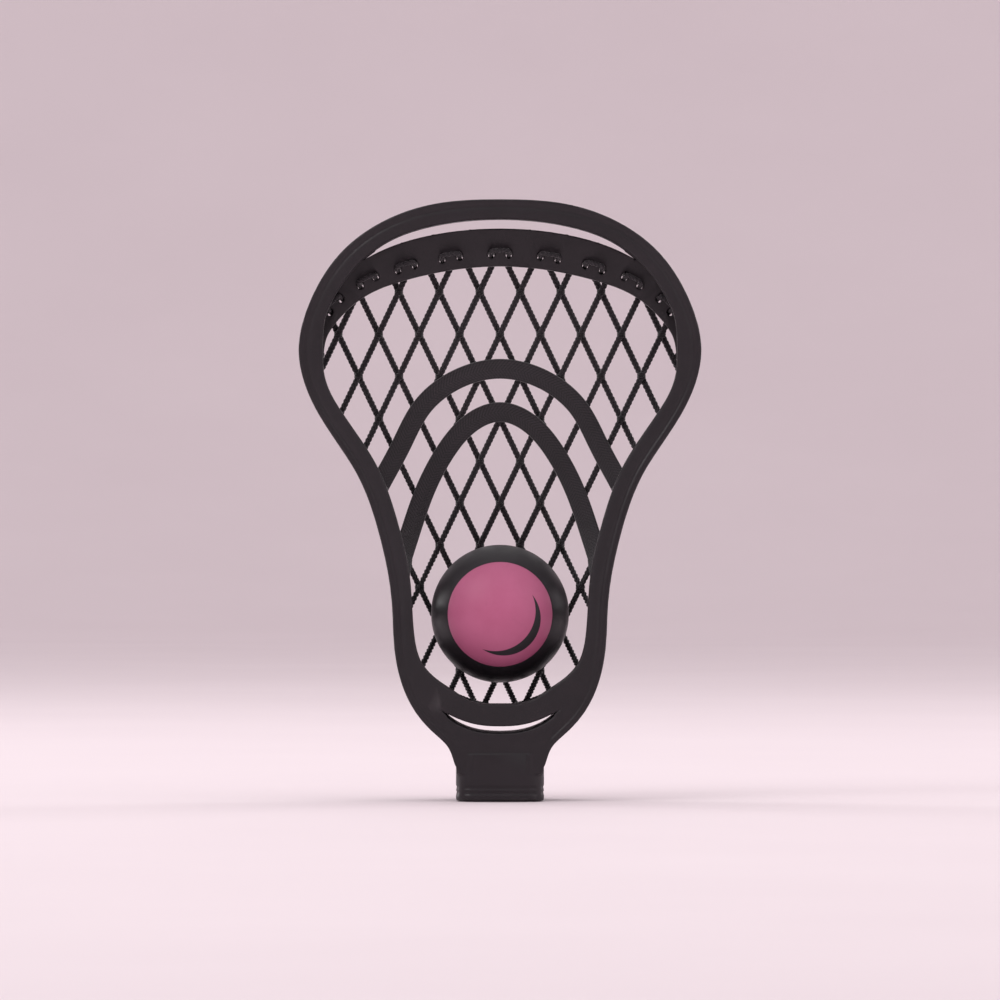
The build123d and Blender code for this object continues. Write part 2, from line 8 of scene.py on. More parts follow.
import bmesh
import bpy
import numpy as np
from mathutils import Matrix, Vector


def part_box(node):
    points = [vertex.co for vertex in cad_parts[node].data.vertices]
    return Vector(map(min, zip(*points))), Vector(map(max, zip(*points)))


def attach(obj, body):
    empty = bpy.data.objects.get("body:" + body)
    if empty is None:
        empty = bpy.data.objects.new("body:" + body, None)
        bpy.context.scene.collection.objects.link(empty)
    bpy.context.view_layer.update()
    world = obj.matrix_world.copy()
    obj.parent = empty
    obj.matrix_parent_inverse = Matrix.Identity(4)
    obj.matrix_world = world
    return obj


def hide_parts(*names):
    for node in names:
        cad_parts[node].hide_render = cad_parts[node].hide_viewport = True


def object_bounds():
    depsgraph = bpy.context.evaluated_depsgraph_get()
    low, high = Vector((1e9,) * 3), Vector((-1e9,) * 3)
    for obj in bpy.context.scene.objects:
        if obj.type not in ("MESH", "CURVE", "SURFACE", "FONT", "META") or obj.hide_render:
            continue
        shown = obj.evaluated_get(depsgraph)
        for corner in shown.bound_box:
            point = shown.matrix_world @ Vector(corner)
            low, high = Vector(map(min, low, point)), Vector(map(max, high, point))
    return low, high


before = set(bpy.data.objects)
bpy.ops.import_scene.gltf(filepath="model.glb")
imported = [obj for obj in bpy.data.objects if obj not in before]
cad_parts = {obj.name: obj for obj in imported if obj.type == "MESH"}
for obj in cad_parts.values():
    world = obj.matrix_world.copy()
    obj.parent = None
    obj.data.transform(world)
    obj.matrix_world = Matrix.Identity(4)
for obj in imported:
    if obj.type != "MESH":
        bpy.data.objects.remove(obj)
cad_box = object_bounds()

MM = 0.001
BACK = np.array([0, 1, 0.0])
scene = bpy.context.scene

# ---------------------------------------------------------------- sizes, as in the solids
OUTLINE = [
    (0.0, 274.0), (42.5, 268.6), (70.3, 252.1), (86.5, 228.0), (91.9, 205.5), (82.4, 175.5),
    (65.0, 148.3), (54.9, 120.5), (49.3, 90.0), (48.1, 69.0), (41.0, 44.4), (35.5, 36.3),
    (28.2, 29.0), (22.35, 21.7), (20.3, 15.8), (19.8, 12.0),
]
UPPER_OPENING = [(0.0, 243.9), (42.5, 237.8), (64.6, 228.4), (76.6, 216.5), (80.9, 201.5)]
LOWER_OPENING = [
    (80.9, 201.5), (73.0, 178.4), (56.4, 153.0), (46.4, 126.0), (41.0, 101.0), (39.3, 77.5),
    (33.6, 59.6), (20.4, 49.3), (0.0, 43.9),
]
FRONT_LINE = [
    (-19.5, 0.0), (-20.0, 30.0), (-20.5, 60.0), (-17.0, 110.0), (-14.0, 170.0),
    (-15.5, 225.0), (-20.0, 260.0), (-22.5, 275.0),
]
BACK_LINE = [
    (27.0, 0.0), (27.2, 25.0), (28.6, 50.0), (28.6, 80.0), (24.6, 120.0), (17.0, 165.0),
    (9.8, 205.0), (3.6, 235.0), (-4.0, 256.0), (-14.5, 275.0),
]
POCKET_LINE = [
    (24.8, 44.0), (33.0, 51.0), (43.4, 62.0), (50.2, 75.0), (52.4, 87.0),
    (50.6, 100.0), (42.0, 122.0), (28.6, 160.0), (16.6, 200.0), (4.2, 248.0),
]
NECK_INSET, WALL_INSET = 0.5, 2.4
INSET_START, INSET_FULL = 24.0, 50.0
RAMP_THICKNESS, WINDOW_SETBACK = 5.5, 9.2
STRING_R, STRING_INSET, STRING_DEPTH, STRING_GAP = 1.15, 1.9, 3.5, 0.4
RAMP_STRING_SHIFT, SHIFT_LOW, SHIFT_HIGH = 7.2, 188.0, 200.5
SIDE_LOOP_HEIGHTS = [70.0, 82.0, 94.0, 108.0, 121.0, 134.0, 148.0, 160.0, 172.0, 184.0]
SIDE_STRING_ENDS = (66.5, 187.5)
TOP_STITCH_SPOTS = [0.0, 22.0, 42.0, 59.0, 73.0]
TOP_STITCH_WIDTH, TOP_STITCH_REACH, TOP_STITCH_SETBACK = 8.0, 5.2, 1.2
TOP_STRING_END, BOTTOM_STRING_END = 203.5, 62.5
BOTTOM_LOOP_SPOTS, BOTTOM_LOOP_REACH = [8.0, 23.0], 6.3
MESH_NODE_HEIGHT, DIAMOND_WIDTH, DIAMOND_HEIGHT = 213.2, 18.57, 38.8
STRANDS_INWARD, STRANDS_OUTWARD = 4, 5
LAYER_OFFSET = 1.0
UPPER_LACE = [(0.0, 197.3), (20.7, 192.0), (36.0, 179.5), (45.3, 162.5), (55.2, 143.9)]
LOWER_LACE = [(0.0, 177.5), (14.0, 172.0), (24.7, 159.9), (34.0, 142.6), (44.8, 111.3)]
LACE_WIDTH, LACE_THICKNESS, LACE_OFFSET, LACE_EDGE_MARGIN = 9.1, 1.2, 3.6, 0.4
UPPER_TAIL_HEIGHT, LOWER_TAIL_HEIGHT = 141.0, 100.5
SOCKET_FRONT, SOCKET_BACK, SOCKET_HALF_WIDTH, SOCKET_CORNER = -20.4, 27.8, 20.1, 8.0
SLOTS = [
    ([(0.0, 264.9), (30.0, 262.0), (50.0, 255.4), (62.0, 247.0)],
     [(0.0, 261.0), (30.0, 258.3), (50.0, 252.8), (62.0, 247.0)]),
    ([(0.0, 33.8), (10.0, 34.5), (20.0, 37.6), (27.0, 41.3)],
     [(0.0, 30.65), (10.0, 31.5), (20.0, 35.3), (27.0, 41.3)]),
]

# ---------------------------------------------------------------- sizes of the looks alone
MOULD_VOXEL, HEAD_ROUNDS, PAD_ROUNDS, HEAD_TRIANGLES = 0.6, 8, 6, 186000
SLOT_SHARE, SLOT_REACH = 0.86, 0.4
SOCKET_BLEND_FOOT = 11.0
LAID_PLIES, LAID_PITCH, LAID_STEP, LAID_PLY_SHARE = 3, 5.0, 0.55, 0.56
CORD_SIDES = 6
PLAIT_HALF_WIDTH, PLAIT_HALF_DEPTH, PLAIT_PLY_R, PLAIT_PITCH = 0.86, 0.36, 0.67, 6.2
STRAND_LOW, STRAND_HIGH, STRAND_FADE = 42.3, 245.6, 5.0
EDGE_LOOP_R, EDGE_LOOP_CORD_R = 1.75, 0.5
WRAP_TURNS, WRAP_CORD_R, WRAP_SIZE = 2.6, 0.42, (1.62, 2.0, 1.9)
WRAP_LOW, WRAP_HIGH, WRAP_EDGE_MARGIN = 44.0, 243.0, 1.0
KNOT_SIZE, KNOT_CORD_R, KNOT_SETBACK = 2.5, 0.85, 1.35
SIDE_END_LENGTH, TOP_END_LENGTH, LACE_END_LENGTH = 9.0, 8.0, 15.0
TOP_LOOP_PROUD = 1.3
BALL_DISC_R, DISC_GROOVE, BALL_SEAM, BALL_SETBACK = 24.0, 0.14, 0.05, 0.06
BEAD_INSET, BEAD_HALF_WIDTH, BEAD_DEPTH, CROWN_HEIGHT = 3.4, 0.75, 0.55, 0.21
RIB_STEP_DEG, RIB_HEIGHT = 9.0, 0.35
RING_HEIGHTS, RING_HALF_WIDTH, RING_DEPTH = (3.4, 5.8), 0.7, 0.5
SEAM_SETBACK, SEAM_HALF_WIDTH, SEAM_HEIGHT = 3.2, 0.4, 0.12
LACE_RIB, LACE_WALE, LACE_BEND = 1.5, 1.14, 2.0
SCREW_EDGE = 0.12


# ---------------------------------------------------------------- curves
def spline(points, first=None, last=None, samples=700):
    """Dense points on a cubic through the given points, with end directions if given."""
    p = np.array(points, float)
    h = np.linalg.norm(np.diff(p, axis=0), axis=1)
    n = len(p)
    a = np.zeros((n, n))
    b = np.zeros_like(p)
    for i in range(1, n - 1):
        a[i, i - 1 : i + 2] = 1 / h[i - 1], 2 / h[i - 1] + 2 / h[i], 1 / h[i]
        b[i] = 3 * ((p[i] - p[i - 1]) / h[i - 1] ** 2 + (p[i + 1] - p[i]) / h[i] ** 2)
    for row, near, step, way in ((0, 1, 0, first), (n - 1, n - 2, n - 2, last)):
        if way is None:
            a[row, row], a[row, near] = 2, 1
            b[row] = 3 * (p[step + 1] - p[step]) / h[step]
        else:
            a[row, row] = 1
            b[row] = np.array(way, float) / np.linalg.norm(way)
    m = np.linalg.solve(a, b)
    u = np.r_[0, np.cumsum(h)]
    s = np.linspace(0, u[-1], samples)
    i = np.clip(np.searchsorted(u, s, side="right") - 1, 0, n - 2)
    w = h[i][:, None]
    t = ((s - u[i]) / h[i])[:, None]
    return (
        (2 * t**3 - 3 * t**2 + 1) * p[i]
        + (t**3 - 2 * t**2 + t) * w * m[i]
        + (3 * t**2 - 2 * t**3) * p[i + 1]
        + (t**3 - t**2) * w * m[i + 1]
    )


def length_along(p):
    return np.r_[0, np.cumsum(np.linalg.norm(np.diff(p, axis=0), axis=1))]


def resample(p, step):
    """The same line with evenly spaced points."""
    s = length_along(p)
    count = max(2, int(round(s[-1] / step)) + 1)
    want = np.linspace(0, s[-1], count)
    return np.stack([np.interp(want, s, p[:, k]) for k in range(p.shape[1])], 1)


def unit(v):
    return v / np.maximum(np.linalg.norm(v, axis=-1, keepdims=True), 1e-9)


def outward(p):
    """Unit normals of a front view line that runs clockwise."""
    d = unit(np.gradient(p, axis=0))
    return np.stack([-d[:, 1], d[:, 0]], 1)


def shifted(p, amount):
    return p + outward(p) * np.reshape(amount, (-1, 1))


def lookup(p, key, value):
    """A function that reads column value of a dense line from its column key."""
    order = np.argsort(p[:, key])
    return lambda z: np.interp(z, p[order, key], p[order, value])


def smooth_step(v, low, high):
    t = np.clip((np.asarray(v, float) - low) / (high - low), 0, 1)
    return t * t * (3 - 2 * t)


def hill(value, centre, half_width):
    return np.exp(-(((value - centre) / half_width) ** 2))


OUTER = spline(OUTLINE, (1, 0), (0, -1))
UPPER = spline(UPPER_OPENING, (1, 0), (0, -1))
LOWER = spline(LOWER_OPENING, (0, -1), (-1, 0))
inset = -NECK_INSET - (WALL_INSET - NECK_INSET) * smooth_step(OUTER[:, 1], INSET_START, INSET_FULL)
WALL_OUTSIDE = shifted(OUTER, inset)
HANG_UPPER = shifted(UPPER, np.full(len(UPPER), STRING_INSET))
HANG_LOWER = shifted(LOWER, np.full(len(LOWER), STRING_INSET))

front_y = lookup(spline(FRONT_LINE), 1, 0)
back_y = lookup(spline(BACK_LINE), 1, 0)
pocket_y = lookup(spline(POCKET_LINE), 1, 0)
hang_x = lookup(np.vstack([HANG_UPPER, HANG_LOWER]), 1, 0)
opening_x = lookup(np.vstack([UPPER, LOWER]), 1, 0)
outline_x = lookup(OUTER, 1, 0)


def hang_y(z):
    """The y of the strings that hold the mesh's edge."""
    shift = RAMP_STRING_SHIFT * smooth_step(z, SHIFT_LOW, SHIFT_HIGH)
    return back_y(z) - STRING_DEPTH + shift


def pocket_depth(x, z):
    """How far back the pocket's surface hangs, as a y."""
    share = np.minimum(np.abs(x) / np.maximum(hang_x(z), 0.5), 1)
    return hang_y(z) + np.maximum(pocket_y(z) - hang_y(z), 0) * (1 - share**2)


def pocket_normal(x, z, step=0.5):
    """Unit normals of the pocket, to the front."""
    dx = (pocket_depth(x + step, z) - pocket_depth(x - step, z)) / (2 * step)
    dz = (pocket_depth(x, z + step) - pocket_depth(x, z - step)) / (2 * step)
    return unit(np.stack([dx, -np.ones_like(dx), dz], -1))


def on_pocket(x, z, forward=0.0):
    """Points of the pocket's surface, or of a surface that lies forward of it."""
    x, z = np.broadcast_arrays(np.asarray(x, float), np.asarray(z, float))
    normal = pocket_normal(x, z)
    return np.stack([x, pocket_depth(x, z) + forward / normal[..., 1], z], -1)


def spot(line, key):
    """Index of the point of a dense line where key(points) is nearest to zero."""
    return int(np.argmin(np.abs(key(line))))


def hang_frame(line, i):
    """Point on the mesh's edge, way along it and way outward, in three dimensions."""
    d = unit(line[min(i + 1, len(line) - 1)] - line[max(i - 1, 0)])
    place = np.array([line[i, 0], float(hang_y(line[i, 1])), line[i, 1]])
    return place, np.array([d[0], 0, d[1]]), np.array([-d[1], 0, d[0]])


def rail_thickness(place, normal):
    """Distance outward from a place on the mesh's edge to the wall's outside."""
    offset = WALL_OUTSIDE - place[[0, 2]]
    n = normal[[0, 2]]
    along, out = offset @ np.array([n[1], -n[0]]), offset @ n
    return out[(np.abs(along) < 0.5) & (out > 0)].min()


# ---------------------------------------------------------------- mesh making
def store(data, name, values):
    """A number per vertex that the materials can read."""
    layer = data.attributes.new(name, "FLOAT", "POINT")
    layer.data.foreach_set("value", np.asarray(values, np.float32))


class Mesh:
    """Collects vertices and faces in millimetres and makes one object of them."""

    def __init__(self):
        self.points, self.faces, self.crest, self.count = [], [], [], 0

    def add(self, points, faces, crest=0.5):
        self.points.append(np.asarray(points, float))
        self.faces += [tuple(int(i) + self.count for i in face) for face in faces]
        self.crest.append(np.broadcast_to(np.asarray(crest, float).ravel(), (len(points),)))
        self.count += len(points)

    def grid(self, rows, caps=True, crest=0.5):
        """Quads over an array of rings x points x 3; caps closes the first and last ring."""
        n, m, _ = rows.shape
        i, j = np.meshgrid(np.arange(n - 1), np.arange(m), indexing="ij")
        k = (j + 1) % m
        quads = np.stack([i * m + j, i * m + k, (i + 1) * m + k, (i + 1) * m + j], -1)
        faces = [tuple(q) for q in quads.reshape(-1, 4)]
        if caps:
            faces.append(tuple(reversed(range(m))))
            faces.append(tuple(range((n - 1) * m, n * m)))
        self.add(rows.reshape(-1, 3), faces, crest)

    def make(self, name):
        data = bpy.data.meshes.new(name)
        points = np.vstack(self.points) * MM
        data.from_pydata(points.tolist(), [], self.faces)
        data.update()
        bm = bmesh.new()
        bm.from_mesh(data)
        bmesh.ops.recalc_face_normals(bm, faces=bm.faces)
        bm.to_mesh(data)
        bm.free()
        data.polygons.foreach_set("use_smooth", [True] * len(data.polygons))
        store(data, "crest", np.concatenate(self.crest))
        obj = bpy.data.objects.new(name, data)
        scene.collection.objects.link(obj)
        return obj


def carry(p, closed=False):
    """Tangent, and two normals carried along a line without twisting."""
    t = unit(np.roll(p, -1, 0) - np.roll(p, 1, 0) if closed else np.gradient(p, axis=0))
    u = np.zeros_like(t)
    first = BACK if abs(BACK @ t[0]) <= 0.95 else np.array([0, 0, 1.0])
    u[0] = unit(first - t[0] * (first @ t[0]))
    for i in range(1, len(t)):
        v = u[i - 1] - t[i] * (u[i - 1] @ t[i])
        u[i] = unit(v)
    return t, u, np.cross(t, u)


def tube(mesh, p, radius, sides=CORD_SIDES, closed=False, axis=None):
    """Round tube; crest says how far each point is from the cord's axis."""
    t, u, v = carry(p, closed=closed)
    a = np.arange(sides) * 2 * pi / sides
    r = np.broadcast_to(np.asarray(radius, float), (len(p),))[:, None, None]
    ring = u[:, None] * np.cos(a)[None, :, None] + v[:, None] * np.sin(a)[None, :, None]
    rows = p[:, None] + ring * r
    crest = np.full(rows.shape[:2], 0.5)
    if axis is not None:
        crest = np.linalg.norm(rows - axis[:, None], axis=-1) / STRING_R
    if closed:
        rows, crest = np.concatenate([rows, rows[:1]]), np.concatenate([crest, crest[:1]])
    mesh.grid(rows, caps=not closed, crest=crest)


def twisted(mesh, p, radius=STRING_R):
    """Laid cord: plies turning about the line."""
    p = resample(p, LAID_STEP)
    s = length_along(p)
    _, u, v = carry(p)
    ply = radius * LAID_PLY_SHARE
    for k in range(LAID_PLIES):
        a = 2 * pi * (s / LAID_PITCH + k / LAID_PLIES)
        way = u * np.cos(a)[:, None] + v * np.sin(a)[:, None]
        tube(mesh, p + way * (radius - ply), ply, axis=p)


def plaited(mesh, p, normal):
    """Flat three-ply plait along a line whose flat side looks along normal."""
    s = length_along(p)
    t = unit(np.gradient(p, axis=0))
    n = unit(normal - t * np.sum(normal * t, 1, keepdims=True))
    b = np.cross(t, n)
    for k in range(3):
        a = 2 * pi * (s / PLAIT_PITCH + k / 3)
        side, depth = PLAIT_HALF_WIDTH * np.sin(a), PLAIT_HALF_DEPTH * np.sin(2 * a)
        tube(mesh, p + b * side[:, None] + n * depth[:, None], PLAIT_PLY_R, axis=p)


def rounded(corners, bend=1.4, step=0.25):
    """Dense line through corners, with each inner corner rounded."""
    c = [np.asarray(q, float) for q in corners]
    out = [c[0][None]]
    for before, here, after in zip(c, c[1:], c[2:]):
        a, b = before - here, after - here
        room = min(bend, np.linalg.norm(a) * 0.48, np.linalg.norm(b) * 0.48)
        start, end = here + unit(a) * room, here + unit(b) * room
        t = np.linspace(0, 1, 9)[:, None]
        out.append((1 - t) ** 2 * start + 2 * t * (1 - t) * here + t**2 * end)
    out.append(c[-1][None])
    return resample(np.vstack(out), step)


def overhand(mesh, place, along):
    """A tight overhand knot, lying along a direction."""
    t = np.linspace(0, 2 * pi, 90, endpoint=False)
    knot = np.stack(
        [np.sin(t) + 2 * np.sin(2 * t), np.cos(t) - 2 * np.cos(2 * t), -1.3 * np.sin(3 * t)], 1
    )
    z = unit(np.asarray(along, float))
    x = unit(np.cross(z, [0.31, 0.93, 0.2]))
    y = np.cross(z, x)
    p = place + (knot @ np.stack([x, y, z])) * (KNOT_SIZE - KNOT_CORD_R) / 3
    tube(mesh, p, KNOT_CORD_R, 8, closed=True)


def loose_end(mesh, knot, length):
    """The short end that hangs behind the rail from a knot, with its melted tip."""
    fall = [knot]
    for back, drop, share in ((1.9, 1.2, 0.3), (2.9, 0.55 * length, 0.8), (2.4, length, 1.0)):
        z = knot[2] - drop
        rail = np.sign(knot[0]) * (opening_x(z) + outline_x(z)) / 2
        fall.append((knot[0] + (rail - knot[0]) * share, knot[1] + back, z))
    line = spline(fall)
    twisted(mesh, line, STRING_R * 0.92)
    tip = line[-1] + np.array([[0, 0, 0.5], [0, 0, 0], [0, 0, -0.55], [0, 0, -0.9]])
    tube(mesh, tip, [0.9, 1.15, 1.0, 0.35], 10)


def mirrored(line):
    return np.asarray(line) * np.array([-1, 1, 1.0])


# ---------------------------------------------------------------- materials
def material(name, base, rough=0.5, metallic=0.0, **inputs):
    """A Principled material, with its node tree and its shader."""
    mat = bpy.data.materials.new(name)
    mat.use_nodes = True
    tree = mat.node_tree
    bsdf = tree.nodes["Principled BSDF"]
    bsdf.inputs["Base Color"].default_value = (*base, 1)
    bsdf.inputs["Roughness"].default_value = rough
    bsdf.inputs["Specular IOR Level"].default_value = 0.34
    bsdf.inputs["Metallic"].default_value = metallic
    for key, value in inputs.items():
        bsdf.inputs[key.replace("_", " ")].default_value = value
    return mat, tree, bsdf


def node(tree, kind, inputs=None, **settings):
    """A new node with its settings, and with links or values on its inputs."""
    n = tree.nodes.new(kind)
    for key, value in settings.items():
        setattr(n, key, value)
    for key, value in (inputs or {}).items():
        socket = n.inputs[key]
        if isinstance(value, bpy.types.NodeSocket):
            tree.links.new(value, socket)
        else:
            socket.default_value = value
    return n


def math_node(tree, operation, a, b=0.0, clamp=False):
    n = node(tree, "ShaderNodeMath", {0: a, 1: b}, operation=operation, use_clamp=clamp)
    return n.outputs[0]


def vertex_value(tree, name):
    return node(tree, "ShaderNodeAttribute", attribute_name=name).outputs["Fac"]


def object_coords(tree):
    return node(tree, "ShaderNodeTexCoord").outputs["Object"]


def noise(tree, coords, scale, detail=4.0, rough=0.55):
    inputs = {"Vector": coords, "Scale": scale, "Detail": detail, "Roughness": rough}
    return node(tree, "ShaderNodeTexNoise", inputs).outputs["Fac"]


def spread(tree, value, low, high, from_low=0.3, from_high=0.7):
    """A value from a noise, stretched to low..high."""
    inputs = {0: value, 1: from_low, 2: from_high, 3: low, 4: high}
    return node(tree, "ShaderNodeMapRange", inputs).outputs[0]


def mix(tree, fac, a, b):
    n = node(tree, "ShaderNodeMix", data_type="RGBA")
    for socket, value in zip((n.inputs[0], n.inputs[6], n.inputs[7]), (fac, a, b)):
        if isinstance(value, bpy.types.NodeSocket):
            tree.links.new(value, socket)
        else:
            socket.default_value = value if isinstance(value, float) else (*value, 1)
    return n.outputs[2]


def bump(tree, height, distance, strength=1.0, below=None):
    inputs = {"Height": height, "Distance": distance, "Strength": strength}
    if below is not None:
        inputs["Normal"] = below
    return node(tree, "ShaderNodeBump", inputs).outputs["Normal"]


def plastic_material():
    """Satin moulded nylon: fine grain, faint flow mottling, rubbed edges and light scratches."""
    mat, tree, bsdf = material("satin_plastic", (0.02, 0.017, 0.02), 0.42)
    at = object_coords(tree)
    edge = node(tree, "ShaderNodeNewGeometry").outputs["Pointiness"]
    rub = spread(tree, edge, 0.0, 1.0, 0.53, 0.62)
    patch = spread(tree, noise(tree, at, 55, 3), 0.0, 1.0, 0.42, 0.68)
    wear = math_node(tree, "MULTIPLY", rub, patch, True)
    flow = spread(tree, noise(tree, at, 28, 5, 0.6), 0.0, 1.0)
    body = mix(tree, flow, (0.0115, 0.0090, 0.0112), (0.0165, 0.0132, 0.0162))
    colour = mix(tree, wear, body, (0.055, 0.048, 0.052))
    tree.links.new(colour, bsdf.inputs["Base Color"])
    stretch = node(tree, "ShaderNodeMapping", {"Vector": at, "Scale": (900, 900, 45)}).outputs[0]
    lines = spread(tree, noise(tree, stretch, 1.0, 2), 0.0, 1.0, 0.66, 0.74)
    few = spread(tree, noise(tree, at, 18, 2), 0.0, 1.0, 0.5, 0.64)
    scratch = math_node(tree, "MULTIPLY", lines, few, True)
    matte = vertex_value(tree, "matte")
    rough = spread(tree, noise(tree, at, 70, 4), 0.3, 0.42)
    rough = math_node(tree, "ADD", rough, math_node(tree, "MULTIPLY", matte, 0.14))
    rough = math_node(tree, "ADD", rough, math_node(tree, "MULTIPLY", wear, 0.16))
    rough = math_node(tree, "ADD", rough, math_node(tree, "MULTIPLY", scratch, 0.1))
    tree.links.new(rough, bsdf.inputs["Roughness"])
    fine = math_node(tree, "MULTIPLY", noise(tree, at, 2600, 3, 0.6), 0.35)
    leather = node(tree, "ShaderNodeTexVoronoi", {"Vector": at, "Scale": 1100.0})
    leather = math_node(tree, "MULTIPLY", leather.outputs["Distance"], matte)
    normal = bump(tree, math_node(tree, "ADD", fine, leather), 0.00007, 0.7)
    normal = bump(tree, scratch, 0.00004, -0.5, normal)
    tree.links.new(normal, bsdf.inputs["Normal"])
    return mat


def cord_material(name, dark, light):
    """Nylon filament: fine fibres, painted shade in the hollows between the plies, a painted highlight
    on the plies' crests broken up by fibre noise, and slight colour drift along the cord.
    """
    mat, tree, bsdf = material(name, dark, 0.66, Sheen_Weight=0.25, Sheen_Roughness=0.4)
    at = object_coords(tree)
    drift = spread(tree, noise(tree, at, 90, 3), 0.0, 1.0)
    fine = spread(tree, noise(tree, at, 5200, 3, 0.65), 0.0, 1.0, 0.35, 0.65)
    crest = spread(tree, vertex_value(tree, "crest"), 0.0, 1.0, 0.45, 1.05)
    colour = mix(tree, drift, dark, light)
    # Painted shade: the cord is darker towards the hollows between its plies, where crest is low.
    colour = mix(tree, crest, tuple(c * 0.35 for c in dark), colour)
    # Painted highlight: the plies' crests are lighter, broken up by fibre noise.
    high = tuple(c * 1.9 for c in light)
    painted_crest_highlight = math_node(tree, "MULTIPLY", fine, math_node(tree, "MULTIPLY", crest, 0.5))
    colour = mix(tree, painted_crest_highlight, colour, high)
    tree.links.new(colour, bsdf.inputs["Base Color"])
    rough = spread(tree, fine, 0.56, 0.76, 0.0, 1.0)
    tree.links.new(rough, bsdf.inputs["Roughness"])
    tree.links.new(bump(tree, fine, 0.00007, 0.8), bsdf.inputs["Normal"])
    return mat


def lace_material():
    """Woven flat lace: fibres under the modelled weave, painted shade in the weave's hollows and a
    painted highlight on its crests, broken up by fibre noise.
    """
    mat, tree, bsdf = material("woven_lace", (0.019, 0.016, 0.019), 0.82, Sheen_Weight=0.4)
    at = object_coords(tree)
    fine = spread(tree, noise(tree, at, 3800, 4, 0.7), 0.0, 1.0, 0.32, 0.68)
    drift = spread(tree, noise(tree, at, 60, 3), 0.0, 1.0)
    crest = spread(tree, vertex_value(tree, "crest"), 0.0, 1.0, 0.1, 0.9)
    colour = mix(tree, drift, (0.0165, 0.014, 0.0165), (0.024, 0.02, 0.024))
    # Painted shade: the lace is darker in the hollows of its weave, where crest is low.
    colour = mix(tree, crest, (0.005, 0.004, 0.005), colour)
    # Painted highlight: the weave's crests are lighter, broken up by fibre noise.
    painted_crest_highlight = math_node(tree, "MULTIPLY", fine, math_node(tree, "MULTIPLY", crest, 0.55))
    colour = mix(tree, painted_crest_highlight, colour, (0.055, 0.048, 0.054))
    tree.links.new(colour, bsdf.inputs["Base Color"])
    tree.links.new(bump(tree, fine, 0.0001, 0.8), bsdf.inputs["Normal"])
    return mat


def foam_material():
    """Closed-cell foam: small open cells with painted shade in their pits, a bump over the cells, and
    soft random tone.
    """
    mat, tree, bsdf = material("pad_foam", (0.018, 0.0155, 0.018), 0.9)
    at = object_coords(tree)
    cells = node(tree, "ShaderNodeTexVoronoi", {"Vector": at, "Scale": 1500.0}).outputs["Distance"]
    pits = spread(tree, cells, 0.0, 1.0, 0.1, 0.45)
    soft = spread(tree, noise(tree, at, 220, 3), 0.0, 1.0)
    # Painted shade: the cells' pits are darker than the skin between them.
    colour = mix(tree, pits, (0.010, 0.0085, 0.010), (0.026, 0.0225, 0.026))
    colour = mix(tree, math_node(tree, "MULTIPLY", soft, 0.4), colour, (0.034, 0.03, 0.034))
    tree.links.new(colour, bsdf.inputs["Base Color"])
    normal = bump(tree, pits, 0.00012, 0.7)
    tree.links.new(bump(tree, soft, 0.0002, 0.5, normal), bsdf.inputs["Normal"])
    return mat


def screw_material():
    """Black oxide steel, worn bright where a driver and a washer would rub."""
    mat, tree, bsdf = material("black_steel", (0.05, 0.048, 0.05), 0.35, 1.0)
    at = object_coords(tree)
    edge = node(tree, "ShaderNodeNewGeometry").outputs["Pointiness"]
    rub = spread(tree, edge, 0.0, 1.0, 0.51, 0.56)
    patch = spread(tree, noise(tree, at, 700, 4), 0.2, 1.0)
    wear = math_node(tree, "MULTIPLY", rub, patch, True)
    tree.links.new(mix(tree, wear, (0.05, 0.048, 0.05), (0.36, 0.35, 0.34)), bsdf.inputs["Base Color"])
    rough = spread(tree, noise(tree, at, 1900, 4), 0.26, 0.5)
    tree.links.new(rough, bsdf.inputs["Roughness"])
    tree.links.new(bump(tree, noise(tree, at, 3500, 3), 0.00002, 0.5), bsdf.inputs["Normal"])
    return mat


